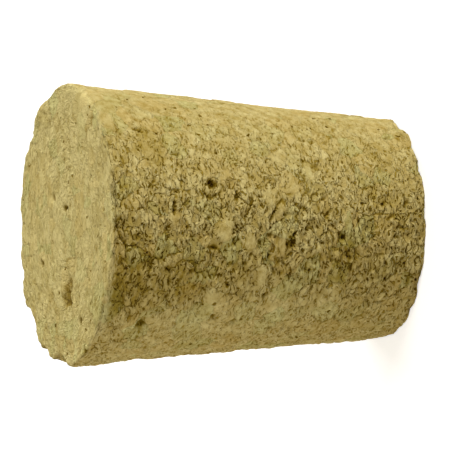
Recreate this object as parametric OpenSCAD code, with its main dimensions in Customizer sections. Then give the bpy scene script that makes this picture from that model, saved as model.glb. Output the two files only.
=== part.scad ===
// Tapered stopper of agglomerated cork.
//
// One solid: granules of cork pressed together with a binder, turned to a
// taper and sliced square at both ends. The granules stand at slightly
// different levels, and the seams between them gape in places. The stopper
// stands on its narrow end. The origin is the centre of that end, and +Z
// points to the wide end. All sizes are in millimetres.

/* [Body] */
// Diameter across the wide end, before its edge wore round
wide_d = 25; // [22:0.5:40]
// Diameter across the narrow end, before its edge wore round
narrow_d = 20; // [14:0.5:21.5]
// Length from end to end
body_l = 30.5; // [20:0.5:50]
// Radius of the worn edge round the wide end
wide_edge_r = 0.35; // [0.2:0.05:1.2]
// Radius of the worn edge round the narrow end
narrow_edge_r = 0.25; // [0.2:0.05:1.2]

/* [Granules] */
// Width of a typical granule
granule_w = 2.2; // [1.6:0.1:3]
// Number of granules marked on the side
side_granules = 250; // [40:10:280]
// Number of granules marked on the wide end
wide_granules = 38; // [10:1:60]
// Number of granules marked on the narrow end
narrow_granules = 26; // [8:1:40]
// Width of the widest seam between granules
seam_w = 0.45; // [0.2:0.05:0.6]
// Depth of the deepest seam
seam_depth = 0.5; // [0.2:0.05:0.8]
// Depth of the lowest granule below the turned surface
low_depth = 0.26; // [0.1:0.02:0.4]
// Layout of the grain: each number is another stopper of the same batch
grain_seed = 6; // [1:1:8]

/* [Hidden] */

cork_colour = "#B5A466";
wide_r = wide_d / 2;
narrow_r = narrow_d / 2;
round_fn = 64;
pore_fn = 13;
hollow_corners = 9;

// Angle of the side from upright
draft = atan((wide_r - narrow_r) / body_l);

// Turn from one granule to the next, which never lines them up
golden_turn = 137.508;

// How far a cutting shape stands clear of the surface that it cuts
clear = 0.4;

// Share of the granules that lie low, and how far their tops lean
low_share = 0.33;
low_lean = 9;

// The ends are sliced, not ground, so their marks are finer
end_granule_share = 0.8;
end_depth_share = 0.45;

// Bare middle of each end, and the bare margin inside its edge
end_middle_r = 1.2;
end_margin = 1.3;

// Bare margin at each end of the side
side_margin = 1.1;

// Open pores in the side: [height, turn, width]
side_pores = [
    [20.8, -71, 1.1],
    [21.1, -99, 0.7],
    [18.9, -96, 0.7],
    [15.4, -93, 0.8],
    [26.3, -137, 0.8],
    [19.6, -133, 0.7],
    [17.4, -137, 0.7],
    [10.2, -45, 0.6],
    [8.5, 40, 0.9],
    [22.0, 78, 0.8],
    [13.0, 118, 0.7],
    [25.0, 160, 0.8]
];

// Gaping cracks in the side: [height, turn, facing, length, width]
side_cracks = [
    [24.6, -82, 90, 1.4, 0.35],
    [23.9, -58, 10, 1.2, 0.35],
    [27.0, -47, 20, 1.1, 0.3],
    [11.5, 60, 70, 1.5, 0.4],
    [16.0, 170, 35, 1.3, 0.35]
];

// Open pores in the wide end: [distance from the middle, turn, width]
wide_pores = [
    [1.5, 10, 0.7],
    [4.0, 53, 0.6],
    [9.4, -153, 0.7],
    [7.0, 120, 0.6]
];

// Shallow hollows in the ends: [distance from the middle, turn, width, depth]
wide_hollows = [[6.4, -174, 2.6, 0.2]];
narrow_hollows = [[4.6, 75, 1.9, 0.25]];

// Places where the wide edge has broken away: [turn, width, depth]
wide_chips = [
    [132, 3.2, 0.5],
    [174, 4.0, 0.75],
    [92, 2.4, 0.3],
    [112, 1.2, 0.35],
    [50, 1.2, 0.3],
    [156, 2.6, 0.4],
    [-127, 7.0, 0.35],
    [-152, 1.0, 0.5],
    [-78, 1.3, 0.3]
];

// Places where the narrow edge has broken away: [turn, width, depth]
narrow_chips = [
    [-176, 1.8, 0.3],
    [-118, 1.4, 0.25],
    [-82, 1.2, 0.2],
    [-56, 1.2, 0.2],
    [70, 2.0, 0.4],
    [155, 1.5, 0.3]
];

// Radius of the side at a height above the narrow end
function side_r(height) = narrow_r + (wide_r - narrow_r) * height / body_l;

// Unit direction of an angle
function ray(angle) = [cos(angle), sin(angle)];

// Points round a worn edge, from one direction of its radius to the other
function worn_edge(height, r, from, to, steps = 3) = [
    for (i = [0:steps])
        [side_r(height) - r / cos(draft), height] + r * ray(from + (to - from) * i / steps)
];

// The plain stopper: a half section turned about the axis
module turned_body() {
    rotate_extrude($fn = round_fn)
        polygon(concat(
            [[0, 0]],
            worn_edge(narrow_edge_r, narrow_edge_r, -90, -draft),
            worn_edge(body_l - wide_edge_r, wide_edge_r, -draft, 90),
            [[0, body_l]]
        ));
}

// Sets its children on the side: their +Z points out of the cork, their +X down
module on_side(height, turn) {
    rotate([0, 0, turn])
        translate([side_r(height), 0, height])
            rotate([0, 90 + draft, 0])
                children();
}

// Sets its children on the wide end
module on_wide_end(distance, turn) {
    rotate([0, 0, turn])
        translate([distance, 0, body_l])
            children();
}

// Sets its children on the narrow end
module on_narrow_end(distance, turn) {
    rotate([0, 0, turn])
        translate([distance, 0, 0])
            rotate([180, 0, 0])
                children();
}

// Sinks an outline straight into the surface
module sink(depth) {
    translate([0, 0, -depth])
        linear_extrude(height = depth + clear)
            children();
}

// An open seam bent round one side of a granule, pointed at both ends
module seam(bend_r, sweep, width, depth) {
    shoulder = 0.4;
    half_w = width / 2 * (1 - shoulder * shoulder);
    sink(depth)
        polygon([
            bend_r * ray(-sweep / 2),
            (bend_r + half_w) * ray(-shoulder * sweep / 2),
            (bend_r + half_w) * ray(shoulder * sweep / 2),
            bend_r * ray(sweep / 2),
            (bend_r - half_w) * ray(shoulder * sweep / 2),
            (bend_r - half_w) * ray(-shoulder * sweep / 2)
        ]);
}

// The top of a granule that lies low, with an outline of uneven corners
module low_top(width, depth, corners, seed) {
    reach = rands(0.6, 1.25, corners, seed);
    sink(depth)
        polygon([
            for (i = [0:corners - 1])
                let (corner = width / 2 * reach[i] * ray(360 * i / corners))
                    [corner[0], 0.8 * corner[1]]
        ]);
}

// A straight crack, pointed at both ends
module crack(length, width) {
    sink(1.6 * width)
        polygon([
            [-length / 2, 0],
            [-length / 5, -width / 2],
            [length / 4, -width / 2],
            [length / 2, 0],
            [0, width / 2]
        ]);
}

// What one granule leaves in the surface: a low leaning top, or a gaping seam
module granule_mark(index, width, depth_share) {
    pick = rands(0, 1, 6, grain_seed * 1000 + index);
    if (pick[1] < low_share)
        rotate([0, 0, 360 * pick[0]])
            rotate([0, low_lean * (0.5 + 0.5 * pick[4]), 0])
                low_top(
                    width * (1 + 0.5 * pick[2]),
                    low_depth * depth_share * (0.2 + 0.8 * pick[3]),
                    5,
                    grain_seed * 3000 + index
                );
    else
        rotate([0, 0, 360 * pick[0]])
            seam(
                width * (0.28 + 0.3 * pick[2]),
                60 + 100 * pick[3],
                seam_w * depth_share * (0.6 + 0.6 * pick[4]),
                seam_depth * depth_share * (0.5 + 0.5 * pick[5])
            );
}

// Distance from the middle of an end to its granule numbered i of count
function end_place(i, count, end_r) =
    let (outer_r = end_r - end_margin)
        sqrt(pow(end_middle_r, 2) + (pow(outer_r, 2) - pow(end_middle_r, 2)) * (i + 0.5) / count);

// The granules of the side follow one spiral from end to end
module side_grain() {
    for (i = [0:side_granules - 1]) {
        stray = rands(-0.5, 0.5, 2, grain_seed * 4000 + i);
        up = (i + 0.5 + stray[0]) / side_granules;
        on_side(side_margin + (body_l - 2 * side_margin) * up, i * golden_turn + 14 * stray[1])
            granule_mark(i, granule_w, 1);
    }
}

// The granules of each end follow a flat spiral from the middle out
module end_grain() {
    for (i = [0:wide_granules - 1])
        on_wide_end(end_place(i, wide_granules, wide_r), i * golden_turn)
            granule_mark(500 + i, granule_w * end_granule_share, end_depth_share);
    for (i = [0:narrow_granules - 1])
        on_narrow_end(end_place(i, narrow_granules, narrow_r), i * golden_turn)
            granule_mark(700 + i, granule_w * end_granule_share, end_depth_share);
}

// The largest single openings in the ends
module end_openings() {
    for (p = wide_pores)
        on_wide_end(p[0], p[1])
            sphere(d = p[2], $fn = pore_fn);
    for (h = wide_hollows)
        on_wide_end(h[0], h[1])
            low_top(h[2], h[3], hollow_corners, 61);
    for (h = narrow_hollows)
        on_narrow_end(h[0], h[1])
            low_top(h[2], h[3], hollow_corners, 62);
}

// The largest single openings in the side
module side_openings() {
    for (p = side_pores)
        on_side(p[0], p[1])
            sphere(d = p[2], $fn = pore_fn);
    for (c = side_cracks)
        on_side(c[0], c[1])
            rotate([0, 0, c[2]])
                crack(c[3], c[4]);
}

// Bites out of both edges, cut on the slant between an end and the side
module edge_chips() {
    for (i = [0:len(wide_chips) - 1])
        rotate([0, 0, wide_chips[i][0]])
            translate([wide_r, 0, body_l])
                rotate([0, 45, 0])
                    rotate([0, 0, 90])
                        low_top(wide_chips[i][1], wide_chips[i][2], 6, 30 + i);
    for (i = [0:len(narrow_chips) - 1])
        rotate([0, 0, narrow_chips[i][0]])
            translate([narrow_r, 0, 0])
                rotate([0, 135, 0])
                    rotate([0, 0, 90])
                        low_top(narrow_chips[i][1], narrow_chips[i][2], 6, 50 + i);
}

module stopper() {
    color(cork_colour)
        difference() {
            turned_body();
            side_grain();
            end_grain();
            side_openings();
            end_openings();
            edge_chips();
        }
}

stopper();
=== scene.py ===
"""A tapered stopper of agglomerated cork, dressed over its CAD solid."""

import math
import random

import bmesh
import bpy
import numpy as np
from mathutils import Matrix, Vector


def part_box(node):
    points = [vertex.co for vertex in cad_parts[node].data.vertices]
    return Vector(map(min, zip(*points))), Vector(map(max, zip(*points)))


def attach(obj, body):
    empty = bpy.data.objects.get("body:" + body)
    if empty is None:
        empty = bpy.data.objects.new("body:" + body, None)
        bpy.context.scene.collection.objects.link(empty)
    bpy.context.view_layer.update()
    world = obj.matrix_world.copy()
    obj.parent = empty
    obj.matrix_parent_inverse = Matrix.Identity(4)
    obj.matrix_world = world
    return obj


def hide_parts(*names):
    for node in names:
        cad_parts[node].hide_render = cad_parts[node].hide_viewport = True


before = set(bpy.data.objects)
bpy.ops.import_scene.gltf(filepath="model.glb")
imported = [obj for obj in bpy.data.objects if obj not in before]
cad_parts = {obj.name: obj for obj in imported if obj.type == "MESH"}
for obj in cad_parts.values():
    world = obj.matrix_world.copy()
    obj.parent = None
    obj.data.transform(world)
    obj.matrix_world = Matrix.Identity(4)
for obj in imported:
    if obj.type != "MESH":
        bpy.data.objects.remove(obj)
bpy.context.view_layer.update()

# ------------------------------------------- sizes in millimetres, turns in degrees, colours

# A millimetre in metres, a length too small to show that keeps a divisor from zero, and the
# distance from the axis inside which a point has no turn of its own
MM = 0.001
NOTHING = 1e-6
NEAR_AXIS = 1

# The turned form: length, radius of each end and of each end's edge, and the side's angle
low_corner, high_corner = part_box("stopper")
BODY_L = (high_corner.z - low_corner.z) / MM
WIDE_R = 12.5
NARROW_R = 10.0
WIDE_EDGE_R = 0.22
NARROW_EDGE_R = 0.15
DRAFT = math.atan((WIDE_R - NARROW_R) / BODY_L)

# Cells of the mesh along each quarter of the girth and from end to end, points of the half
# section round each edge, and what is nothing between two places on the block of cells
GIRTH_CELLS = 104
LENGTH_CELLS = 184
EDGE_POINTS = 13
SAME = 1e-4

# The granules: width, how far their outlines wander, over what distance, and their levels
GRANULE = 1.8
SQUEEZE = 0.9
SQUEEZE_PATCH = 1.2
LEVEL = 0.08

# How far the torn grain strays from its way round, how long it is drawn, and how far apart
# in the pattern two granules may take their grain
STRAY = 0.25
DRAWN_OUT = 0.62
GRANULE_OFFSET = 9

# Noise hardly leaves this span
NOISE_LOW = 0.3
NOISE_HIGH = 0.7

# Soft lumps under the flakes: width and height
LUMP = 0.9
LUMP_HEIGHT = 0.15

# Torn flakes: width, depth of the valleys between them, and where a valley starts and is
# full, in flake widths from the flake's middle
FLAKE = 0.45
FLAKE_DEPTH = 0.23
VALLEY_START = 0.30
VALLEY_FULL = 0.72

# Over what distance a flake's outline is gnarled, and how far
GNARL = 0.3
GNARL_REACH = 0.27

# Pin holes between the flakes: width, depth, and the noise at their rim and floor
PIT = 0.19
PIT_DEPTH = 0.18
PIT_RIM = 0.45
PIT_FLOOR = 0.37

# Finest grain: width and height to either side
FINE = 0.20
FINE_HEIGHT = 0.025

# How roughly a granule tore: width of a rough patch, weight of the granule's own share,
# where roughness starts and is full, and what the smoothest granule keeps
ROUGH_PATCH = 1.6
ROUGH_BY_GRANULE = 0.35
ROUGH_START = 0.34
ROUGH_FULL = 0.56
LEAST_ROUGH = 0.45

# Seams round the granules: half width, depth, width of a stretch that gapes, where gaping
# starts and is full, the torn share at which a seam is full, and what the ends have of it
SEAM_HALF_WIDTH = 0.14
SEAM_DEPTH = 0.13
GAPE_PATCH = 1.1
GAPE_START = 0.46
GAPE_FULL = 0.62
SEAM_FULL_TORN = 0.8
SLICED_SEAM_SHARE = 0.15

# Round pores: distance apart, depth, the share of places that have none, and in
# distances, the reach of the widest and the width of a rim
SLICE_PIT = 0.75
SLICE_PIT_DEPTH = 0.12
NO_SLICE_PIT = 0.35
SLICE_PIT_REACH = 0.30
SLICE_PIT_RIM = 0.16

# How far the tearing is taken off to the right and left, and with it its relief and the painted shade
# in its valleys and pits, so that the side is smoother and paler there; and what of the tearing the
# sliced ends have
SMOOTHER_TO_RIGHT = 0.9
SMOOTHER_TO_LEFT = 0.55
SLICED_SHARE = 0.35

# The cork's colours from the dark of a pit, partly painted shade, to the palest top
CORK_TONES = (
    (0.0, "382200"), (0.3, "6C5400"), (0.55, "9B8330"), (0.72, "BBA662"), (0.86, "CEBD7C"),
    (1.0, "E1D192"),
)

# Places on that run of colours: torn side, ground side and sliced ends, and how far the
# granules of the side and of the ends differ
TORN_TONE = 0.72
GROUND_TONE = 0.775
SLICED_TONE = 0.91
TONE_SPREAD = 0.04
SLICED_SPREAD = 0.14

# Tints of the sliced ends and of the greenest and reddest granules, and which granules
# start to turn green or red, by their random number from 0 to 1
SLICED_TINT = "FFFEF2"
GREENER = "F6FFFC"
REDDER = "FFFBF4"
GREEN_FROM = 0.7
RED_BELOW = 0.25

# Freckles: width, and their strength on the sliced ends and on torn cork
FRECKLE = 0.8
FRECKLE_TONE = 0.6
TORN_FRECKLE_TONE = 0.1

# How much darker a hole, a valley, a seam and a pore are, partly browner cork and partly painted shade,
# and how much paler rough tops
HOLE_DARK_AND_SHADE = 0.45
VALLEY_DARK_AND_SHADE = 0.17
SEAM_DARK_AND_SHADE = 0.22
SLICE_PIT_DARK_AND_SHADE = 0.45
PALE_TOPS = 0.12

# Single openings are painted darker from one depth to another: painted shade, and in the hollows partly
# their own darker cork
OPENING_SHADE = 0.45
OPENING_SHADE_FROM = 0.04
OPENING_SHADE_TO = 0.36

# Open pores in the side: height, turn in degrees, width. PORE_WOBBLE is how uneven a pore is.
PORE_WOBBLE = 0.18
SIDE_PORES = (
    (20.8, -71, 0.9), (21.1, -99, 0.5), (18.9, -96, 0.5), (15.4, -93, 0.55),
    (26.4, -135, 1.0), (19.6, -133, 0.6), (17.4, -137, 0.6), (10.2, -45, 0.55),
    (8.5, 40, 0.9), (22.0, 78, 0.8), (13.0, 118, 0.7), (25.0, 160, 0.8),
)

# Gaping cracks in the side: height, turn, facing in degrees, length, width. Their depth
# goes by their width.
CRACK_DEPTH_BY_WIDTH = 1.6
SIDE_CRACKS = (
    (24.6, -82, 90, 1.4, 0.35), (23.9, -58, 10, 1.2, 0.2), (27.0, -47, 20, 1.1, 0.3),
    (11.5, 60, 70, 1.5, 0.4), (16.0, 170, 35, 1.3, 0.35),
)

# Torn pits in the side: height, turn, facing in degrees, length, width, over the frayed
# rim. The open part inside the rim is shorter and narrower.
SIDE_PIT_DEPTH = 0.27
OPEN_LENGTH = 0.8
OPEN_WIDTH = 0.75
SIDE_PITS = (
    (7.7, -102, 65, 2.2, 0.5), (13.1, -97, 103, 1.4, 0.7), (1.2, -117, 85, 1.8, 0.4),
    (3.5, -84, 145, 1.5, 0.45), (14.6, -105, 60, 1.5, 0.5), (22.6, -109, 154, 1.1, 0.7),
    (14.0, -78, 59, 1.0, 0.5), (21.2, -77, 27, 1.0, 0.4), (8.2, -110, 98, 0.9, 0.5),
    (14.7, -111, 76, 1.2, 0.4), (11.6, -109, 91, 1.6, 0.4), (1.8, -76, 144, 0.7, 0.5),
    (15.1, -122, 129, 0.8, 0.45), (4.1, -77, 128, 0.9, 0.4), (21.6, -81, 133, 0.8, 0.4),
    (8.2, -94, 77, 1.0, 0.4), (18.6, -77, 120, 0.8, 0.5), (27.3, -80, 96, 0.9, 0.4),
    (26.7, -111, 4, 0.8, 0.4), (25.0, -108, 114, 0.7, 0.45), (13.1, -112, 144, 0.8, 0.4),
    (17.7, -106, 176, 0.8, 0.4), (26.4, -71, 138, 0.7, 0.4), (10.1, -76, 149, 0.8, 0.4),
    (17.2, -102, 125, 0.6, 0.45), (13.9, -84, 11, 0.6, 0.4), (2.9, -94, 5, 0.9, 0.4),
    (21.3, -86, 98, 0.6, 0.45), (16.3, -76, 178, 1.0, 0.4), (18.6, -90, 113, 0.6, 0.4),
    (18.9, -97, 120, 0.9, 0.7), (20.9, -99, 164, 1.0, 0.7), (26.3, -137, 71, 1.5, 0.7),
    (24.6, -82, 101, 1.4, 0.4),
)

# Places where an edge has broken away: turn in degrees, width, depth
WIDE_CHIPS = (
    (134, 3.4, 0.55), (175, 4.2, 0.72), (92, 2.4, 0.3), (112, 1.2, 0.35), (50, 1.2, 0.35),
    (157, 2.4, 0.4), (-127, 8.5, 0.5), (-152, 1.0, 0.22), (-76, 5.0, 0.42), (-92, 3.2, 0.25),
    (-107, 4.0, 0.36),
)
NARROW_CHIPS = (
    (-176, 1.8, 0.3), (-118, 1.4, 0.25), (-82, 1.2, 0.2), (-56, 1.2, 0.2),
    (70, 2.0, 0.4), (155, 1.5, 0.3),
)

# Open pores in the wide end: distance from the middle, turn in degrees, width along X and Y
WIDE_PORES = (
    (1.5, 10, 0.5, 1.3), (4.0, 53, 0.5, 0.7), (9.4, -153, 0.7, 0.7), (7.0, 120, 0.5, 0.7),
    (12.1, -152, 0.4, 0.5),
)

# Shallow hollows in the ends: distance from the middle, turn in degrees, width, depth. The
# outline has three and five uneven lobes, and the steeper the wall, the wider the floor.
WIDE_HOLLOWS = ((6.4, -174, 2.8, 0.22), (5.3, -168, 1.5, 0.16))
NARROW_HOLLOWS = ((4.6, 75, 1.9, 0.25),)
HOLLOW_THREE_LOBES = 0.2
HOLLOW_FIVE_LOBES = 0.15
HOLLOW_STEEPNESS = 1.6

# Where an edge stands a little proud: turn in degrees, half width in degrees, height. A
# swell fades out over SWELL_FADE from the edge.
WIDE_SWELLS = (
    (12, 12, 0.12), (36, 10, 0.34), (57, 7, 0.15), (69, 12, 0.12), (91, 8, 0.08), (104, 7, 0.07),
    (119, 9, 0.3), (130, 7, 0.12), (149, 9, 0.16), (-161, 12, 0.52),
)
NARROW_SWELLS = (
    (-156, 9, 0.14), (-144, 8, 0.4), (-128, 8, 0.4), (-118, 9, 0.12), (-54, 7, 0.1),
    (-110, 8, 0.25), (-70, 25, 0.2), (-50, 8, 0.28), (-34, 9, 0.6), (-16, 8, 0.25),
)
SWELL_FADE = 3.5

# Where the side stands a little proud: height, turn in degrees, half width, rise
SIDE_SWELLS = ((28.4, -171, 2.6, 0.2),)

# Small nicks all round each edge: number, layout, narrowest and widest, the least depth,
# and the most at the wide and the narrow edge
NICKS = 70
NICK_SEED = 4
NICK_WIDTHS = (0.6, 1.6)
LEAST_NICK = 0.03
WIDE_NICK = 0.13
NARROW_NICK = 0.08

# A bite stays within this distance of its edge
BITE_REACH = 3

# Where the wide edge wore round: turn in degrees, half width in degrees, depth. The worn
# flat runs softly into the side and the end, over WORN_SOFTNESS where it is deepest.
WORN_EDGE = ((-24, 26, 0.40), (-50, 14, 0.25), (-125, 26, 0.22))
WORN_SOFTNESS = 0.4

# Seams that gape in the side: width, depth, and their course by height and turn
SIDE_SEAMS = (
    (0.30, 0.25, ((21.8, -74), (21.4, -76), (21.0, -77), (20.4, -76), (20.0, -74))),
    (0.28, 0.22, ((12.2, -63), (11.8, -66), (11.6, -70), (11.7, -73), (12.1, -75), (12.3, -72))),
    (0.30, 0.30, ((13.9, -80), (14.2, -77), (14.7, -80), (15.1, -84), (15.3, -87))),
    (0.28, 0.22, ((29.9, -92), (29.4, -96), (28.9, -100))),
    (0.34, 0.30, ((13.5, -98), (12.9, -92))),
)

# Patches of the side: height, turn, facing, length, width, change of tone, share still torn
SIDE_PATCHES = (
    (26.6, -57, 90, 1.5, 0.7, 0.08, 0.1),
    (29.8, -44, 80, 2.2, 1.3, -0.02, 0.1),
    (29.4, -116, 90, 5.5, 1.6, -0.10, 1.0),
    (29.6, -22, 90, 6.5, 3.6, 0.0, 0.2),
    (25.5, -18, 70, 6.0, 3.5, 0.0, 0.5),
    (27.9, -112, 90, 2.4, 1.2, -0.08, 1.0),
    (26.4, -114, 80, 7.0, 4.6, -0.08, 1.0),
    (24.7, -87, 90, 1.2, 0.9, 0.03, 0.15),
    (12.9, -71, 80, 2.2, 0.9, 0.0, 0.15),
    (11.2, -64, 75, 2.0, 1.0, 0.03, 0.15),
    (14.1, -97, 90, 2.0, 0.7, 0.02, 0.2),
    (15.4, -77, 90, 1.6, 0.9, 0.02, 0.2),
    (7.8, -86, 80, 1.8, 0.8, 0.02, 0.2),
    (22.0, -150, 90, 7.0, 13.0, 0.0, 0.75),
    (8.1, -105, 90, 4.5, 3.2, -0.11, 1.0),
    (22.9, -112, 90, 4.0, 3.0, -0.09, 1.0),
    (26.4, -52, 90, 4.0, 3.2, -0.08, 1.0),
    (18.0, -111, 90, 3.5, 2.5, -0.07, 1.0),
    (4.9, -108, 90, 3.5, 2.5, -0.05, 1.0),
    (3.5, -49, 90, 3.5, 3.0, -0.05, 1.0),
    (13.7, -124, 90, 3.5, 2.5, 0.06, 0.6),
    (20.0, -126, 90, 3.0, 2.5, 0.06, 0.6),
    (18.8, -134, 0, 19.0, 3.6, 0.045, 0.7),
    (29.4, -60, 90, 8.0, 2.2, -0.05, 1.0),
    (29.2, -95, 90, 8.0, 2.2, -0.04, 1.0),
    (29.2, -122, 90, 4.0, 2.0, -0.07, 1.0),
    (20.8, -89, 90, 2.2, 1.6, -0.05, 1.0),
    (26.0, -61, 90, 2.5, 2.0, -0.05, 1.0),
    (4.5, -75, 90, 3.0, 2.5, -0.05, 1.0),
    (13.2, -84, 90, 3.0, 2.5, 0.01, 1.0),
    (19.8, -92, 80, 2.4, 1.5, 0.02, 0.1),
    (17.3, -97, 75, 2.0, 1.2, 0.0, 0.15),
    (20.2, -124, 90, 2.0, 1.3, 0.0, 0.15),
    (15.9, -113, 85, 2.4, 1.0, 0.0, 0.15),
    (14.3, -80, 90, 1.5, 0.9, 0.0, 0.1),
    (8.6, -128, 90, 3.5, 2.5, 0.05, 0.6),
    (29.8, -109, 90, 2.5, 1.6, -0.055, 1.0),
    (28.1, -118, 90, 2.5, 2.0, -0.05, 1.0),
    (3.3, -59, 90, 2.2, 1.8, -0.045, 1.0),
    (10.4, -129, 90, 2.2, 1.8, -0.035, 1.0),
    (15.7, -88, 90, 2.2, 1.6, 0.055, 1.0),
    (24.7, -77, 90, 2.2, 1.6, 0.045, 1.0),
    (3.6, -137, 90, 2.2, 1.8, 0.035, 1.0),
    (20.9, -58, 90, 2.2, 1.8, 0.035, 1.0),
    (6.5, -56, 90, 2.2, 1.8, 0.035, 1.0),
)

# Patches of the wide end: distance, turn, width, change of tone
END_PATCHES = (
    (6.4, -174, 2.6, -0.06), (9.3, -152, 0.8, -0.15), (12.2, -152, 0.7, -0.2),
    (8.4, -163, 0.9, -0.1), (8.7, 170, 0.7, -0.1), (9.5, -9, 1.2, -0.08),
    (3.4, 5, 3.5, 0.05), (3.3, -80, 4.0, 0.04), (3.4, 92, 4.0, 0.03), (7.6, 166, 3.5, -0.04),
    (9.0, 134, 2.0, -0.06),
)

# How uneven a patch's outline is, and where it ends and over what stretch it fades, in
# half widths
SIDE_PATCH_WOBBLE = 0.15
SIDE_PATCH_END = 1.3
SIDE_PATCH_FADE = 0.6
END_PATCH_WOBBLE = 0.2
END_PATCH_END = 1.15
END_PATCH_FADE = 0.3

# Where the wide edge is paler, partly worn pale and partly a painted highlight along the rim: turn,
# half width in degrees, strength. It is paler by the tone set below and loses RUBBED_SMOOTH of its
# tearing.
EDGE_WEAR_AND_HIGHLIGHT = ((-122, 30, 1.0), (-15, 30, 0.2), (60, 60, 0.3))
EDGE_WEAR_AND_HIGHLIGHT_WIDTH = 0.9
EDGE_WEAR_AND_HIGHLIGHT_TONE = 0.20
RUBBED_SMOOTH = 0.6

# The larger ON_SIDE, the further round the edge the side's finish holds. A bite or pore as
# deep as TORN_BITE shows torn cork on a sliced end.
ON_SIDE = 1.3
TORN_BITE = 0.12


# ---------------------------------------------------------------- nodes and colours

def hex_colour(code):
    """Turns an sRGB hex value such as C8B77B to the linear colour that Blender uses."""
    channels = [int(code[i:i + 2], 16) / 255 for i in (0, 2, 4)]
    linear = [
        channel / 12.92 if channel <= 0.04045 else ((channel + 0.055) / 1.055) ** 2.4
        for channel in channels]
    return (*linear, 1.0)


def add(tree, kind, inputs=None, **settings):
    """Adds a node with its settings. inputs maps an input's name or number to a value or a link."""
    node = tree.nodes.new(kind)
    for name, value in settings.items():
        setattr(node, name, value)
    for key, value in (inputs or {}).items():
        if isinstance(value, bpy.types.NodeSocket):
            tree.links.new(value, node.inputs[key])
        else:
            node.inputs[key].default_value = value
    return node


# ---------------------------------------------------------------- the grain of the cork

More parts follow.
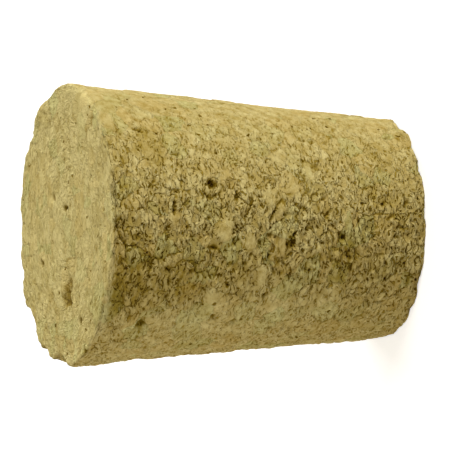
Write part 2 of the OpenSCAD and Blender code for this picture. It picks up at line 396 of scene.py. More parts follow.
def grain(tree, place, torn_share):
    """Builds the cork's grain at a place in metres, in a mesh's node tree or a material's.

    Returns its parts by name: the height in millimetres, masks from 0 to 1, and as pick each
    granule's three random numbers.
    """
    # The granules were squeezed together, so their outlines wander.
    squeeze = add(tree, "ShaderNodeTexNoise", {
        "Vector": place, "Scale": 1 / (SQUEEZE_PATCH * MM), "Detail": 2.0, "Roughness": 0.6})
    centred = add(tree, "ShaderNodeVectorMath", {
        0: squeeze.outputs["Color"], 1: (0.5, 0.5, 0.5)}, operation="SUBTRACT")
    squeezed = add(tree, "ShaderNodeVectorMath", {
        0: centred.outputs[0], 1: (SQUEEZE * MM,) * 3, 2: place},
        operation="MULTIPLY_ADD").outputs[0]
    cell = add(tree, "ShaderNodeTexVoronoi", {
        "Vector": squeezed, "Scale": 1 / (GRANULE * MM)})
    rim = add(tree, "ShaderNodeTexVoronoi", {
        "Vector": squeezed, "Scale": 1 / (GRANULE * MM)}, feature="DISTANCE_TO_EDGE")
    pick = add(tree, "ShaderNodeSeparateXYZ", {0: cell.outputs["Color"]})

    # The grinding wheel drew each granule's torn grain out round the stopper, more or less.
    # A granule's random colour is spread from -1 to 1 to lead its grain astray.
    round_it = add(tree, "ShaderNodeVectorMath", {
        0: (0, 0, 1), 1: cell.outputs["Position"]}, operation="CROSS_PRODUCT")
    round_it = add(tree, "ShaderNodeVectorMath", {0: round_it.outputs[0]}, operation="NORMALIZE")
    astray = add(tree, "ShaderNodeVectorMath", {
        0: cell.outputs["Color"], 1: (2, 2, 2), 2: (-1, -1, -1)}, operation="MULTIPLY_ADD")
    drawn = add(tree, "ShaderNodeVectorMath", {
        0: astray.outputs[0], 1: (STRAY,) * 3, 2: round_it.outputs[0]}, operation="MULTIPLY_ADD")
    drawn = add(tree, "ShaderNodeVectorMath", {0: drawn.outputs[0]}, operation="NORMALIZE")
    off = add(tree, "ShaderNodeVectorMath", {
        0: squeezed, 1: cell.outputs["Position"]}, operation="SUBTRACT")
    along = add(tree, "ShaderNodeVectorMath", {
        0: off.outputs[0], 1: drawn.outputs[0]}, operation="DOT_PRODUCT")
    shorter = add(tree, "ShaderNodeMath", {
        0: along.outputs["Value"], 1: -DRAWN_OUT}, operation="MULTIPLY")
    shift = add(tree, "ShaderNodeVectorMath", {
        0: drawn.outputs[0], "Scale": shorter.outputs[0]}, operation="SCALE")
    fibre = add(tree, "ShaderNodeVectorMath", {
        0: squeezed, 1: shift.outputs[0]}, operation="ADD")
    fibre = add(tree, "ShaderNodeVectorMath", {
        0: cell.outputs["Color"], 1: (GRANULE_OFFSET * MM,) * 3, 2: fibre.outputs[0]},
        operation="MULTIPLY_ADD").outputs[0]

    # Torn grain: gnarled flakes on soft lumps, with valleys and pin holes between them.
    lump = add(tree, "ShaderNodeTexNoise", {
        "Vector": squeezed, "Scale": 1 / (LUMP * MM), "Detail": 0.0})
    lump_height = add(tree, "ShaderNodeMapRange", {
        "Value": lump.outputs["Fac"], "From Min": NOISE_LOW, "From Max": NOISE_HIGH,
        "To Min": -LUMP_HEIGHT, "To Max": 0.0})
    gnarl = add(tree, "ShaderNodeTexNoise", {
        "Vector": fibre, "Scale": 1 / (GNARL * MM), "Detail": 2.0, "Roughness": 0.6})
    gnarled = add(tree, "ShaderNodeVectorMath", {
        0: gnarl.outputs["Color"], 1: (GNARL_REACH * MM,) * 3, 2: fibre}, operation="MULTIPLY_ADD")
    flake = add(tree, "ShaderNodeTexVoronoi", {
        "Vector": gnarled.outputs[0], "Scale": 1 / (FLAKE * MM)})
    valley = add(tree, "ShaderNodeMapRange", {
        "Value": flake.outputs["Distance"], "From Min": VALLEY_START, "From Max": VALLEY_FULL},
        interpolation_type="SMOOTHSTEP")
    pit_noise = add(tree, "ShaderNodeTexNoise", {
        "Vector": fibre, "Scale": 1 / (PIT * MM), "Detail": 1.5, "Roughness": 0.6})
    pit = add(tree, "ShaderNodeMapRange", {
        "Value": pit_noise.outputs["Fac"], "From Min": PIT_RIM, "From Max": PIT_FLOOR},
        interpolation_type="SMOOTHSTEP")

    # Some granules tore roughly, and others were ground smooth.
    rough_noise = add(tree, "ShaderNodeTexNoise", {
        "Vector": place, "Scale": 1 / (ROUGH_PATCH * MM), "Detail": 1.0})
    rough_sum = add(tree, "ShaderNodeMath", {
        0: pick.outputs[0], 1: ROUGH_BY_GRANULE, 2: rough_noise.outputs["Fac"]},
        operation="MULTIPLY_ADD")
    rough = add(tree, "ShaderNodeMapRange", {
        "Value": rough_sum.outputs[0], "From Min": ROUGH_START, "From Max": ROUGH_FULL,
        "To Min": LEAST_ROUGH, "To Max": 1.0}, interpolation_type="SMOOTHSTEP")
    rough = add(tree, "ShaderNodeMath", {0: rough.outputs[0], 1: torn_share}, operation="MULTIPLY")

    # Seams gape along parts of a granule's outline, and stay shut along the rest.
    gape = add(tree, "ShaderNodeTexNoise", {
        "Vector": place, "Scale": 1 / (GAPE_PATCH * MM), "Detail": 1.0})
    gape_share = add(tree, "ShaderNodeMapRange", {
        "Value": gape.outputs["Fac"], "From Min": GAPE_START, "From Max": GAPE_FULL},
        interpolation_type="SMOOTHSTEP")
    seam_line = add(tree, "ShaderNodeMapRange", {
        "Value": rim.outputs["Distance"], "From Min": SEAM_HALF_WIDTH / GRANULE, "From Max": 0.0},
        interpolation_type="SMOOTHSTEP")
    seam = add(tree, "ShaderNodeMath", {
        0: gape_share.outputs[0], 1: seam_line.outputs[0]}, operation="MULTIPLY")
    seam_share = add(tree, "ShaderNodeMapRange", {
        "Value": torn_share, "From Min": SLICED_SHARE, "From Max": SEAM_FULL_TORN,
        "To Min": SLICED_SEAM_SHARE, "To Max": 1.0})
    seam = add(tree, "ShaderNodeMath", {
        0: seam.outputs[0], 1: seam_share.outputs[0]}, operation="MULTIPLY")

    # Small round pores lie open wherever the cork is cut.
    pore = add(tree, "ShaderNodeTexVoronoi", {
        "Vector": squeezed, "Scale": 1 / (SLICE_PIT * MM)})
    pore_pick = add(tree, "ShaderNodeSeparateXYZ", {0: pore.outputs["Color"]})
    pore_size = add(tree, "ShaderNodeMapRange", {
        "Value": pore_pick.outputs[0], "From Min": NO_SLICE_PIT, "From Max": 1.0,
        "To Min": 0.0, "To Max": SLICE_PIT_REACH})
    pore_share = add(tree, "ShaderNodeMath", {
        0: pore_size.outputs[0], 1: pore.outputs["Distance"]}, operation="SUBTRACT")
    slice_pit = add(tree, "ShaderNodeMapRange", {
        "Value": pore_share.outputs[0], "From Min": 0.0, "From Max": SLICE_PIT_RIM},
        interpolation_type="SMOOTHSTEP")

    # Each granule stands at its own level, and its face is finely grained.
    level = add(tree, "ShaderNodeMapRange", {
        "Value": pick.outputs[1], "To Min": -LEVEL, "To Max": LEVEL})
    fine = add(tree, "ShaderNodeTexNoise", {
        "Vector": fibre, "Scale": 1 / (FINE * MM), "Detail": 2.0, "Roughness": 0.6})
    fine_height = add(tree, "ShaderNodeMapRange", {
        "Value": fine.outputs["Fac"], "From Min": NOISE_LOW, "From Max": NOISE_HIGH,
        "To Min": -FINE_HEIGHT, "To Max": FINE_HEIGHT})

    # The heights add up: flakes and pin holes by roughness, then seams, pores and fine grain.
    torn = add(tree, "ShaderNodeMath", {
        0: valley.outputs[0], 1: -FLAKE_DEPTH, 2: lump_height.outputs[0]},
        operation="MULTIPLY_ADD")
    torn = add(tree, "ShaderNodeMath", {
        0: pit.outputs[0], 1: -PIT_DEPTH, 2: torn.outputs[0]}, operation="MULTIPLY_ADD")
    torn = add(tree, "ShaderNodeMath", {
        0: torn.outputs[0], 1: rough.outputs[0], 2: level.outputs[0]}, operation="MULTIPLY_ADD")
    height = add(tree, "ShaderNodeMath", {
        0: seam.outputs[0], 1: -SEAM_DEPTH, 2: torn.outputs[0]}, operation="MULTIPLY_ADD")
    height = add(tree, "ShaderNodeMath", {
        0: slice_pit.outputs[0], 1: -SLICE_PIT_DEPTH, 2: height.outputs[0]},
        operation="MULTIPLY_ADD")
    height = add(tree, "ShaderNodeMath", {
        0: fine_height.outputs[0], 1: height.outputs[0]}, operation="ADD")
    hole = add(tree, "ShaderNodeMath", {0: pit.outputs[0], 1: rough.outputs[0]}, operation="MULTIPLY")
    low = add(tree, "ShaderNodeMath", {0: valley.outputs[0], 1: rough.outputs[0]}, operation="MULTIPLY")
    return {
        "height": height.outputs[0],
        "seam": seam.outputs[0],
        "hole": hole.outputs[0],
        "low": low.outputs[0],
        "slice_pit": slice_pit.outputs[0],
        "rough": rough.outputs[0],
        "pick": pick,
    }


def grain_over(mesh):
    """Works the grain's height out at every vertex of a mesh, in millimetres."""
    tree = bpy.data.node_groups.new("grain_over_blank", "GeometryNodeTree")
    tree.interface.new_socket("Geometry", in_out="INPUT", socket_type="NodeSocketGeometry")
    tree.interface.new_socket("Geometry", in_out="OUTPUT", socket_type="NodeSocketGeometry")
    source = add(tree, "NodeGroupInput")
    place = add(tree, "GeometryNodeInputPosition")
    torn = add(tree, "GeometryNodeInputNamedAttribute", {"Name": "torn"}, data_type="FLOAT")
    parts = grain(tree, place.outputs[0], torn.outputs["Attribute"])
    kept = add(tree, "GeometryNodeStoreNamedAttribute", {
        "Geometry": source.outputs[0], "Name": "height", "Value": parts["height"]})
    add(tree, "NodeGroupOutput", {0: kept.outputs[0]})
    probe = bpy.data.objects.new("probe", mesh)
    bpy.context.scene.collection.objects.link(probe)
    modifier = probe.modifiers.new("grain", "NODES")
    modifier.node_group = tree
    bpy.context.view_layer.update()
    shaped = probe.evaluated_get(bpy.context.evaluated_depsgraph_get()).data
    heights = np.zeros(len(shaped.vertices), np.float32)
    shaped.attributes["height"].data.foreach_get("value", heights)
    bpy.data.objects.remove(probe)
    bpy.data.node_groups.remove(tree)
    return heights


# ---------------------------------------------------------------- the turned blank

def half_section():
    """The stopper's outline from the foot to the head: radius, height and outward direction."""
    points = []
    slope = math.degrees(DRAFT)
    for height, edge_r, start, end in (
        (NARROW_EDGE_R, NARROW_EDGE_R, -90, -slope),
        (BODY_L - WIDE_EDGE_R, WIDE_EDGE_R, -slope, 90),
    ):
        side_r = NARROW_R + (WIDE_R - NARROW_R) * height / BODY_L
        centre_r = side_r - edge_r / math.cos(DRAFT)
        for angle in np.radians(np.linspace(start, end, EDGE_POINTS)):
            points.append((
                centre_r + edge_r * math.cos(angle), height + edge_r * math.sin(angle),
                math.cos(angle), math.sin(angle)))
    return np.array(points)


def blank_mesh():
    """A closed block of even cells, moved to the turned blank's form.

    Returns the mesh, its points in millimetres and their outward directions.
    """
    # The block runs from -1 to 1 each way.
    bm = bmesh.new()
    bmesh.ops.create_cube(bm, size=2)
    upright = [edge for edge in bm.edges if abs(edge.verts[0].co.z - edge.verts[1].co.z) > 1]
    bmesh.ops.subdivide_edges(bm, edges=upright, cuts=LENGTH_CELLS - 1, use_grid_fill=True)
    level = [edge for edge in bm.edges if abs(edge.verts[0].co.z - edge.verts[1].co.z) < SAME]
    bmesh.ops.subdivide_edges(bm, edges=level, cuts=GIRTH_CELLS - 1, use_grid_fill=True)
    mesh = bpy.data.meshes.new("cork_stopper")
    bm.to_mesh(mesh)
    bm.free()

    block = np.zeros(len(mesh.vertices) * 3, np.float32)
    mesh.vertices.foreach_get("co", block)
    block = block.reshape(-1, 3).astype(float)
    # The square of each layer is moved to a disc of even cells, without a pole.
    across = math.sqrt(2) * np.sin(block[:, :2] * math.pi / 4)
    disc = across * np.sqrt(1 - across[:, ::-1] ** 2 / 2)
    share = np.hypot(disc[:, 0], disc[:, 1])
    turn = np.arctan2(disc[:, 1], disc[:, 0])
    on_end = np.abs(block[:, :2]).max(1) < 1 - SAME

    # The block's height goes by the length of the outline, so that both edges get cells.
    section = half_section()
    run = np.concatenate([[0], np.cumsum(np.hypot(*np.diff(section[:, :2], axis=0).T))])
    along = (block[:, 2] + 1) / 2 * run[-1]
    radius, height, out_r, out_z = (np.interp(along, run, column) for column in section.T)
    radius = np.where(on_end, share * radius, radius)
    out_r = np.where(on_end, 0, out_r)
    out_z = np.where(on_end, np.sign(block[:, 2]), out_z)
    points = np.stack([radius * np.cos(turn), radius * np.sin(turn), height], 1)
    outward = np.stack([out_r * np.cos(turn), out_r * np.sin(turn), out_z], 1)
    outward /= np.linalg.norm(outward, axis=1, keepdims=True)
    mesh.vertices.foreach_set("co", (points * MM).astype(np.float32).ravel())
    mesh.update()
    return mesh, points, outward


# ---------------------------------------------------------------- pores, cracks and chips

def side_frame(height, turn):
    """A point on the side and its directions: out of the cork, round it, and along it."""
    angle = math.radians(turn)
    radial = np.array([math.cos(angle), math.sin(angle), 0])
    around = np.array([-math.sin(angle), math.cos(angle), 0])
    radius = NARROW_R + (WIDE_R - NARROW_R) * height / BODY_L
    centre = radius * radial + np.array([0, 0, height])
    out = math.cos(DRAFT) * radial - np.array([0, 0, math.sin(DRAFT)])
    return centre, out, around, np.cross(out, around)


def along_mark(off, around, along, facing):
    """How far each point lies lengthwise and crosswise from the middle of a mark on the side."""
    angle = math.radians(facing)
    lengthwise = off @ along * math.cos(angle) + off @ around * math.sin(angle)
    crosswise = off @ around * math.cos(angle) - off @ along * math.sin(angle)
    return lengthwise, crosswise


def end_point(distance, turn, end_z):
    """A point on an end, by its distance from the middle and its turn."""
    angle = math.radians(turn)
    return np.array([distance * math.cos(angle), distance * math.sin(angle), end_z])


def turns_of(points):
    """The turn of each point about the axis."""
    return np.degrees(np.arctan2(points[:, 1], points[:, 0]))


def turn_from(turns, middle):
    """How far each turn is from a middle one, the short way round."""
    return np.abs((turns - middle + 180) % 360 - 180)


def flat_middle(away):
    """1 over the middle third of a stretch, and from there down to 0 at its ends."""
    return np.clip(1.5 - 1.5 * away, 0, 1)


def opening_depths(points):
    """How deep the single pores and cracks reach in below each point, in millimetres."""
    depth = np.zeros(len(points))
    for height, turn, width in SIDE_PORES:
        centre, out, around, along = side_frame(height, turn)
        off = points - centre
        wobble = 1 + PORE_WOBBLE * np.sin(3 * np.arctan2(off @ around, off @ along) + turn)
        inside = (width / 2 * wobble) ** 2 - (off @ around) ** 2 - (off @ along) ** 2
        near = np.abs(off @ out) < width
        depth = np.maximum(depth, np.where(near, np.sqrt(np.maximum(inside, 0)), 0))
    cracks = [(*crack, CRACK_DEPTH_BY_WIDTH * crack[4]) for crack in SIDE_CRACKS]
    pits = [
        (height, turn, facing, OPEN_LENGTH * length, OPEN_WIDTH * width, SIDE_PIT_DEPTH)
        for height, turn, facing, length, width in SIDE_PITS]
    for height, turn, facing, length, width, deepest in cracks + pits:
        centre, out, around, along = side_frame(height, turn)
        off = points - centre
        lengthwise, crosswise = along_mark(off, around, along, facing)
        narrowing = np.clip(1 - (2 * lengthwise / length) ** 2, 0, 1)
        share = np.clip(1 - (2 * crosswise / width) ** 2, 0, 1) * narrowing
        near = np.abs(off @ out) < width
        depth = np.maximum(depth, np.where(near, deepest * np.sqrt(share), 0))
    # A seam's floor is a third of its width, and its walls slope up over the rest.
    for width, seam_depth, course in SIDE_SEAMS:
        places = [side_frame(height, turn)[0] for height, turn in course]
        for start, end in zip(places[:-1], places[1:]):
            run = end - start
            share = np.clip((points - start) @ run / (run @ run), 0, 1)
            away = np.linalg.norm(points - start - share[:, None] * run, axis=1)
            depth = np.maximum(depth, seam_depth * flat_middle(away / (width / 2)))
    return depth


def wear_edge(points):
    """Rounds the wide edge off where it was handled."""
    radius = np.hypot(points[:, 0], points[:, 1])
    turns = turns_of(points)
    depth = np.zeros(len(points))
    for middle, half_width, most in WORN_EDGE:
        depth = np.maximum(depth, most * flat_middle(turn_from(turns, middle) / half_width))
    over = (radius - WIDE_R + points[:, 2] - BODY_L) / math.sqrt(2) + depth
    soft = WORN_SOFTNESS * depth / WORN_EDGE[0][2] + NOTHING
    cut = np.where(over > soft, over, np.clip(over + soft, 0, None) ** 2 / (4 * soft))
    cut = np.where((depth > 0) & (radius > WIDE_R / 2), cut, 0) / math.sqrt(2)
    worn = points.copy()
    worn[:, :2] *= (1 - cut / np.maximum(radius, NEAR_AXIS))[:, None]
    worn[:, 2] -= cut
    return worn


def chip_edges(points):
    """Takes the bites out of both edges."""
    chipped = points.copy()
    chance = random.Random(NICK_SEED)
    for chips, edge_r, edge_z, up, nick_depth in (
        (WIDE_CHIPS, WIDE_R, BODY_L, 1, WIDE_NICK), (NARROW_CHIPS, NARROW_R, 0, -1, NARROW_NICK),
    ):
        nicks = tuple(
            (chance.uniform(-180, 180), chance.uniform(*NICK_WIDTHS),
             chance.uniform(LEAST_NICK, nick_depth))
            for _ in range(NICKS))
        for turn, width, depth in chips + nicks:
            angle = math.radians(turn)
            radial = np.array([math.cos(angle), math.sin(angle), 0])
            around = np.array([-math.sin(angle), math.cos(angle), 0])
            slant = (radial + np.array([0, 0, up])) / math.sqrt(2)
            off = chipped - (edge_r * radial + np.array([0, 0, edge_z]))
            sideways = off @ around
            # A bite's floor is flat along its middle and curls up at both sides.
            floor = -depth * np.clip(1 - (2 * sideways / width) ** 4, 0, None)
            over = off @ slant - floor
            cut = (np.abs(sideways) < width / 2) & (over > 0) & (off @ radial > -BITE_REACH)
            chipped = chipped - np.where(cut, over, 0)[:, None] * slant
    return chipped


def end_openings(points):
    """How deep the pores and hollows of both ends reach in below each point, in millimetres."""
    depth = np.zeros(len(points))
    for distance, turn, width_x, width_y in WIDE_PORES:
        off = points - end_point(distance, turn, BODY_L)
        inside = 1 - (2 * off[:, 0] / width_x) ** 2 - (2 * off[:, 1] / width_y) ** 2
        near = np.abs(off[:, 2]) < width_x
        depth = np.maximum(depth, np.where(near, width_x * np.sqrt(np.maximum(inside, 0)), 0))
    for hollows, end_z in ((WIDE_HOLLOWS, BODY_L), (NARROW_HOLLOWS, 0)):
        for distance, turn, width, hollow_depth in hollows:
            off = points - end_point(distance, turn, end_z)
            bearing = np.arctan2(off[:, 1], off[:, 0])
            lobes = HOLLOW_THREE_LOBES * np.sin(3 * bearing + turn)
            reach = width / 2 * (1 + lobes + HOLLOW_FIVE_LOBES * np.sin(5 * bearing))
            away = np.hypot(off[:, 0], off[:, 1])
            share = np.clip(HOLLOW_STEEPNESS - HOLLOW_STEEPNESS * away / reach, 0, 1)
            near = np.abs(off[:, 2]) < width / 2
            depth = np.maximum(depth, np.where(near, hollow_depth * share, 0))
    return depth


def swell_edges(points):
    """Moves the points out where an edge stands proud of the true circle."""
    radius = np.maximum(np.hypot(points[:, 0], points[:, 1]), NOTHING)
    turns = turns_of(points)
    out = np.zeros(len(points))
    for swells, edge_r, edge_z in ((WIDE_SWELLS, WIDE_R, BODY_L), (NARROW_SWELLS, NARROW_R, 0)):
        near_edge = np.clip(1 - np.abs(points[:, 2] - edge_z) / SWELL_FADE, 0, 1)
        near_edge = near_edge * np.clip(1 - (edge_r - radius) / SWELL_FADE, 0, 1)
        for middle, half_width, height in swells:
            away = turn_from(turns, middle) / half_width
            out += height * near_edge ** 2 * np.clip(1 - away ** 2, 0, 1)
    rise = np.zeros(len(points))
    for height, middle, half_width, most in SIDE_SWELLS:
        away = np.linalg.norm(points - side_frame(height, middle)[0], axis=1) / half_width
        rise += most * np.clip(1 - away ** 2, 0, 1)
    # A swell leaves the wide edge on the slant, and the narrow one outwards only.
    swollen = points.copy()
    swollen[:, :2] *= (1 + (out * math.sqrt(0.5) + rise) / radius)[:, None]
    swollen[:, 2] += np.where(points[:, 2] > BODY_L / 2, out * math.sqrt(0.5), 0)
    return swollen


# ---------------------------------------------------------------- the stopper

def patches_over(points):
    """The change of tone at each point, and the share of its tearing that is left."""
    tone = np.zeros(len(points))
    kept = np.ones(len(points))
    for height, turn, facing, length, width, shift, still_torn in SIDE_PATCHES:
        centre, out, around, along = side_frame(height, turn)
        off = points - centre
        lengthwise, crosswise = along_mark(off, around, along, facing)
        lengthwise = lengthwise / (length / 2)
        crosswise = crosswise / (width / 2)
        reach = np.sqrt(lengthwise ** 2 + crosswise ** 2 + (off @ out / width) ** 2)
        reach *= 1 + SIDE_PATCH_WOBBLE * np.sin(3 * np.arctan2(crosswise, lengthwise) + turn)
        share = np.clip((SIDE_PATCH_END - reach) / SIDE_PATCH_FADE, 0, 1)
        tone += shift * share
        kept *= 1 - (1 - still_torn) * share
    for distance, turn, width, shift in END_PATCHES:
        off = points - end_point(distance, turn, BODY_L)
        bearing = np.arctan2(off[:, 1], off[:, 0])
        wobble = 1 + END_PATCH_WOBBLE * np.sin(3 * bearing + turn)
        reach = np.linalg.norm(off, axis=1) / (width / 2) * wobble
        tone += shift * np.clip((END_PATCH_END - reach) / END_PATCH_FADE, 0, 1)
    turns = turns_of(points)
    from_edge = np.hypot(points[:, 2] - BODY_L, np.hypot(points[:, 0], points[:, 1]) - WIDE_R)
    on_edge = np.clip(1 - from_edge / EDGE_WEAR_AND_HIGHLIGHT_WIDTH, 0, 1)
    # The wide edge is painted paler: partly wear, partly a painted highlight along the rim.
    for middle, half_width, strength in EDGE_WEAR_AND_HIGHLIGHT:
        share = strength * on_edge * flat_middle(turn_from(turns, middle) / half_width)
        tone += EDGE_WEAR_AND_HIGHLIGHT_TONE * share
        kept *= 1 - RUBBED_SMOOTH * share
    return tone, kept


def finish_over(turned, outward, bitten):
    """How roughly each point was torn, its tone, and its share of the ends' sliced finish."""
    shift, kept = patches_over(turned)
    radius = np.maximum(np.hypot(turned[:, 0], turned[:, 1]), NEAR_AXIS)
    to_right = turned[:, 0] / radius
    # Toward the right and left, the tearing, its relief and the painted shade of its valleys and pits
    # are taken off, and the side turns paler.
    smoothed_share = SMOOTHER_TO_RIGHT * np.maximum(to_right, 0) + SMOOTHER_TO_LEFT * np.maximum(-to_right, 0)
    ground = kept * (1 - smoothed_share)
    upright = np.abs(outward[:, 2])
    on_side = np.clip(ON_SIDE - ON_SIDE * upright + bitten / TORN_BITE, 0, 1)
    torn = on_side * ground + (1 - on_side) * SLICED_SHARE * kept
    side_tone = GROUND_TONE + (TORN_TONE - GROUND_TONE) * ground
    tone = on_side * side_tone + (1 - on_side) * SLICED_TONE
    return torn, tone + shift, 1 - on_side


def eased(mesh, values, rounds):
    """Evens values at the vertices out with their neighbours, as fine as the mesh can carry."""
    ends = np.zeros(len(mesh.edges) * 2, np.int32)
    mesh.edges.foreach_get("vertices", ends)
    first, second = ends.reshape(-1, 2).T
    count = np.bincount(ends, minlength=len(values))
    for _ in range(rounds):
        total = np.bincount(first, values[second], len(values))
        total += np.bincount(second, values[first], len(values))
        values = (values + total / count) / 2
    return values


def store(mesh, name, values):
    """Keeps one value for each vertex under a name, for the material to read."""
    mesh.attributes.new(name, "FLOAT", "POINT").data.foreach_set("value", values.astype(np.float32))


def make_stopper():
    """The stopper: the turned blank with its bites, openings, worn edge, swells and grain."""
    mesh, turned, outward = blank_mesh()
    chipped = chip_edges(turned)
    end_opened = end_openings(turned)
    bitten = np.linalg.norm(chipped - turned, axis=1) + end_opened / 2
    torn, tone, sliced = finish_over(turned, outward, bitten)
    store(mesh, "torn", torn)
    store(mesh, "tone", tone)
    store(mesh, "sliced", sliced)
    relief = eased(mesh, grain_over(mesh).astype(float), 1)
    opened = np.maximum(opening_depths(turned), end_opened)
    shaped = swell_edges(wear_edge(chipped))
    shaped = shaped + outward * (relief - opened)[:, None]
    # Nothing reaches below the foot that it stands on.
    shaped[:, 2] = np.maximum(shaped[:, 2], 0)
    mesh.vertices.foreach_set("co", (shaped * MM).astype(np.float32).ravel())
    # The material's patterns lie on the plain turned form, so that no bite stretches them.
    before = mesh.attributes.new("turned", "FLOAT_VECTOR", "POINT")
    before.data.foreach_set("vector", (turned * MM).astype(np.float32).ravel())
    store(mesh, "opened", opened)
    store(mesh, "relief", relief)
    mesh.polygons.foreach_set("use_smooth", np.ones(len(mesh.polygons), bool))
    mesh.update()
    stopper = bpy.data.objects.new("cork_stopper", mesh)
    bpy.context.scene.collection.objects.link(stopper)
    return stopper


# ---------------------------------------------------------------- materials

def ground_agglomerated_cork():
    """Granules of cork bark in a clear binder, ground to size: dull, torn and many-toned."""
    material = bpy.data.materials.new("ground_agglomerated_cork")
    material.use_nodes = True
    tree = material.node_tree
    tree.nodes.clear()
    place = add(tree, "ShaderNodeAttribute", attribute_name="turned").outputs["Vector"]
    opened = add(tree, "ShaderNodeAttribute", attribute_name="opened").outputs["Fac"]
    torn = add(tree, "ShaderNodeAttribute", attribute_name="torn").outputs["Fac"]
    relief = add(tree, "ShaderNodeAttribute", attribute_name="relief").outputs["Fac"]
    sliced = add(tree, "ShaderNodeAttribute", attribute_name="sliced").outputs["Fac"]
    parts = grain(tree, place, torn)

    # The tone runs from the dark of a deep pit, through the brown of a valley, to pale tops. The dark
    # of pits, valleys and seams is partly painted shade.
    base = add(tree, "ShaderNodeAttribute", attribute_name="tone").outputs["Fac"]
    by_granule = add(tree, "ShaderNodeMath", {
        0: parts["pick"].outputs[2], 1: 0.5}, operation="SUBTRACT")
    granule_spread = add(tree, "ShaderNodeMapRange", {
        "Value": sliced, "To Min": TONE_SPREAD, "To Max": SLICED_SPREAD})
    tone = add(tree, "ShaderNodeMath", {
        0: by_granule.outputs[0], 1: granule_spread.outputs[0], 2: base}, operation="MULTIPLY_ADD")
    tone = add(tree, "ShaderNodeMath", {
        0: parts["rough"], 1: PALE_TOPS, 2: tone.outputs[0]}, operation="MULTIPLY_ADD")
    freckle = add(tree, "ShaderNodeTexNoise", {
        "Vector": place, "Scale": 1 / (FRECKLE * MM), "Detail": 3.0, "Roughness": 0.6})
    freckle = add(tree, "ShaderNodeMath", {0: freckle.outputs["Fac"], 1: 0.5}, operation="SUBTRACT")
    freckled = add(tree, "ShaderNodeMapRange", {
        "Value": torn, "From Min": SLICED_SHARE, "From Max": 1.0,
        "To Min": FRECKLE_TONE, "To Max": TORN_FRECKLE_TONE})
    tone = add(tree, "ShaderNodeMath", {
        0: freckle.outputs[0], 1: freckled.outputs[0], 2: tone.outputs[0]}, operation="MULTIPLY_ADD")
    # Holes, valleys, seams and pores are painted darker: partly their browner cork, partly painted
    # shade in place of the shadow their fine relief can't cast.
    for name, share in (
        ("hole", HOLE_DARK_AND_SHADE), ("low", VALLEY_DARK_AND_SHADE), ("seam", SEAM_DARK_AND_SHADE), ("slice_pit", SLICE_PIT_DARK_AND_SHADE),
    ):
        tone = add(tree, "ShaderNodeMath", {
            0: parts[name], 1: -share, 2: tone.outputs[0]}, operation="MULTIPLY_ADD")
    # Painted shade in the pores, cracks, pits, seams and hollows: the deeper, the darker.
    hollow = add(tree, "ShaderNodeMapRange", {
        "Value": opened, "From Min": OPENING_SHADE_FROM, "From Max": OPENING_SHADE_TO,
        "To Max": OPENING_SHADE})
    tone = add(tree, "ShaderNodeMath", {
        0: tone.outputs[0], 1: hollow.outputs[0]}, operation="SUBTRACT")
    colour = add(tree, "ShaderNodeValToRGB", {0: tone.outputs[0]})
    colour.color_ramp.elements.remove(colour.color_ramp.elements[1])
    colour.color_ramp.elements[0].color = hex_colour(CORK_TONES[0][1])
    for place_on_ramp, code in CORK_TONES[1:]:
        colour.color_ramp.elements.new(place_on_ramp).color = hex_colour(code)
    # Some granules are a little greener, and some a little redder, than the rest.
    greener = add(tree, "ShaderNodeMapRange", {
        "Value": parts["pick"].outputs[0], "From Min": GREEN_FROM, "From Max": 1.0})
    colour = add(tree, "ShaderNodeMix", {
        0: greener.outputs[0], 6: colour.outputs[0], 7: hex_colour(GREENER)},
        data_type="RGBA", blend_type="MULTIPLY")
    redder = add(tree, "ShaderNodeMapRange", {
        "Value": parts["pick"].outputs[0], "From Min": RED_BELOW, "From Max": 0.0})
    colour = add(tree, "ShaderNodeMix", {
        0: redder.outputs[0], 6: colour.outputs[2], 7: hex_colour(REDDER)},
        data_type="RGBA", blend_type="MULTIPLY")
    colour = add(tree, "ShaderNodeMix", {
        0: sliced, 6: colour.outputs[2], 7: hex_colour(SLICED_TINT)},
        data_type="RGBA", blend_type="MULTIPLY")
    # The mesh holds the relief as far as its cells can. The bump adds only what they miss.
    missing = add(tree, "ShaderNodeMath", {0: parts["height"], 1: relief}, operation="SUBTRACT")
    metres = add(tree, "ShaderNodeMath", {0: missing.outputs[0], 1: MM}, operation="MULTIPLY")
    bump = add(tree, "ShaderNodeBump", {
        "Height": metres.outputs[0], "Strength": 1.0, "Distance": 1.0})
    cork = add(tree, "ShaderNodeBsdfPrincipled", {
        "Base Color": colour.outputs[2], "Roughness": 0.9, "IOR": 1.4,
        "Specular IOR Level": 0.15, "Normal": bump.outputs[0]})
    add(tree, "ShaderNodeOutputMaterial", {0: cork.outputs[0]})
    return material


def seen_share(tree):
    """1 for the rays that show the background: straight, off gloss or through glass. Else 0."""
    path = add(tree, "ShaderNodeLightPath")
    seen = add(tree, "ShaderNodeMath", {
        0: path.outputs["Is Camera Ray"], 1: path.outputs["Is Glossy Ray"]}, operation="MAXIMUM")
    seen = add(tree, "ShaderNodeMath", {
        0: seen.outputs[0], 1: path.outputs["Is Transmission Ray"]}, operation="MAXIMUM")
    return seen.outputs[0]


# The floor's paper, and how far it is lifted towards white where the camera sees it
PAPER = "F2F2F2"
PAPER_GLOW = 0.6


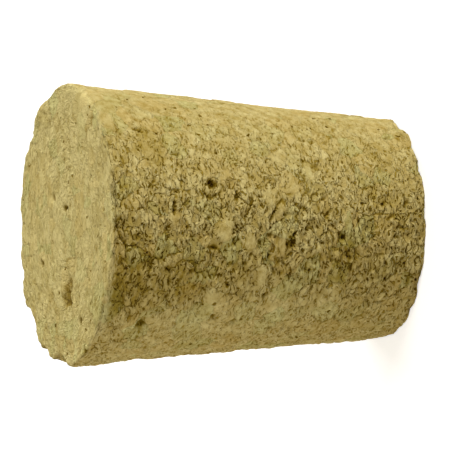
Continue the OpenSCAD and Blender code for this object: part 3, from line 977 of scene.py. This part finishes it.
def matt_white_paper():
    """Plain studio paper: it shows white to the camera and still holds a soft shadow."""
    material = bpy.data.materials.new("matt_white_paper")
    material.use_nodes = True
    tree = material.node_tree
    tree.nodes.clear()
    paper = add(tree, "ShaderNodeBsdfPrincipled", {
        "Base Color": hex_colour(PAPER), "Roughness": 0.95, "Specular IOR Level": 0.0})
    white = add(tree, "ShaderNodeEmission", {0: (1, 1, 1, 1), 1: PAPER_GLOW})
    both = add(tree, "ShaderNodeAddShader", {0: paper.outputs[0], 1: white.outputs[0]})
    shown = add(tree, "ShaderNodeMixShader", {
        0: seen_share(tree), 1: paper.outputs[0], 2: both.outputs[0]})
    add(tree, "ShaderNodeOutputMaterial", {0: shown.outputs[0]})
    return material


# ---------------------------------------------------------------- floor, light and camera

# Half the floor's width, in metres
FLOOR_HALF_WIDTH = 0.5

# Three soft square lamps: name, direction from the stopper, distance and width in metres,
# watts, tint
LAMPS = (
    ("front_lamp", (0.87, -0.5, 0.3), 0.6, 0.3, 2.45, "F8F9FF"),
    ("back_lamp", (0.5, 0.87, 0.5), 0.6, 0.3, 1.95, "EFF3FF"),
    ("low_lamp", (-1, 0, 0.25), 0.6, 0.4, 0.95, "FFF5ED"),
)

# The world lights the stopper at this level and tint, and shows white to the camera
WORLD_LEVEL = 0.38
WORLD_TINT = "FFF6DE"
WORLD_SEEN = "FFFFFF"


def make_floor():
    """A floor wide enough to reach past the frame in a level view."""
    bm = bmesh.new()
    bmesh.ops.create_grid(bm, x_segments=1, y_segments=1, size=FLOOR_HALF_WIDTH)
    mesh = bpy.data.meshes.new("floor")
    bm.to_mesh(mesh)
    bm.free()
    floor = bpy.data.objects.new("floor", mesh)
    floor.data.materials.append(matt_white_paper())
    bpy.context.scene.collection.objects.link(floor)
    return floor


def make_lamp(name, direction, distance, size, watts, tint):
    """A soft square lamp that shines on the stopper from a direction."""
    lamp = bpy.data.lights.new(name, "AREA")
    lamp.color = hex_colour(tint)[:3]
    lamp.size = size
    lamp.energy = watts
    centre = Vector((0, 0, BODY_L / 2 * MM))
    away = Vector(direction).normalized()
    lamp_object = bpy.data.objects.new(name, lamp)
    lamp_object.location = centre + away * distance
    lamp_object.rotation_mode = "QUATERNION"
    lamp_object.rotation_quaternion = away.to_track_quat("Z", "Y")
    bpy.context.scene.collection.objects.link(lamp_object)
    return lamp_object


def make_world():
    """A plain studio all round: a soft light on the stopper, and white behind it."""
    world = bpy.data.worlds.new("plain_studio")
    world.use_nodes = True
    tree = world.node_tree
    tree.nodes.clear()
    seen = seen_share(tree)
    strength = add(tree, "ShaderNodeMapRange", {
        "Value": seen, "To Min": WORLD_LEVEL, "To Max": 1.0})
    tint = add(tree, "ShaderNodeMix", {
        0: seen, 6: hex_colour(WORLD_TINT), 7: hex_colour(WORLD_SEEN)}, data_type="RGBA")
    sky = add(tree, "ShaderNodeBackground", {0: tint.outputs[2], 1: strength.outputs[0]})
    add(tree, "ShaderNodeOutputWorld", {0: sky.outputs[0]})
    bpy.context.scene.world = world


# The camera looks down at the stopper's waist past its wide end, turned on its side so
# that the stopper's axis lies across the frame: millimetres and degrees.
CAMERA_AIM = (0.18, 0.0, 15.29)
CAMERA_DISTANCE = 367.8
CAMERA_ELEVATION = 21.566
CAMERA_ROLL = -89.275
CAMERA_LENS = 328.2

# Nearest and furthest that the camera sees, in metres
CAMERA_NEAR = 0.01
CAMERA_FAR = 20


def make_camera():
    """A long lens from the front."""
    camera = bpy.data.cameras.new("camera")
    camera.lens = CAMERA_LENS
    camera.clip_start = CAMERA_NEAR
    camera.clip_end = CAMERA_FAR
    turn = Matrix.Rotation(math.radians(90 - CAMERA_ELEVATION), 4, "X")
    turn = turn @ Matrix.Rotation(math.radians(CAMERA_ROLL), 4, "Z")
    back = turn.to_3x3() @ Vector((0, 0, 1))
    camera_object = bpy.data.objects.new("camera", camera)
    place = (Vector(CAMERA_AIM) + back * CAMERA_DISTANCE) * MM
    camera_object.matrix_world = Matrix.Translation(place) @ turn
    bpy.context.scene.collection.objects.link(camera_object)
    bpy.context.scene.camera = camera_object


stopper = make_stopper()
stopper.data.materials.append(ground_agglomerated_cork())
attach(stopper, "root")
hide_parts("stopper")
floor = make_floor()
for lamp_values in LAMPS:
    make_lamp(*lamp_values)
make_world()
make_camera()
bpy.context.scene.view_settings.view_transform = "Standard"
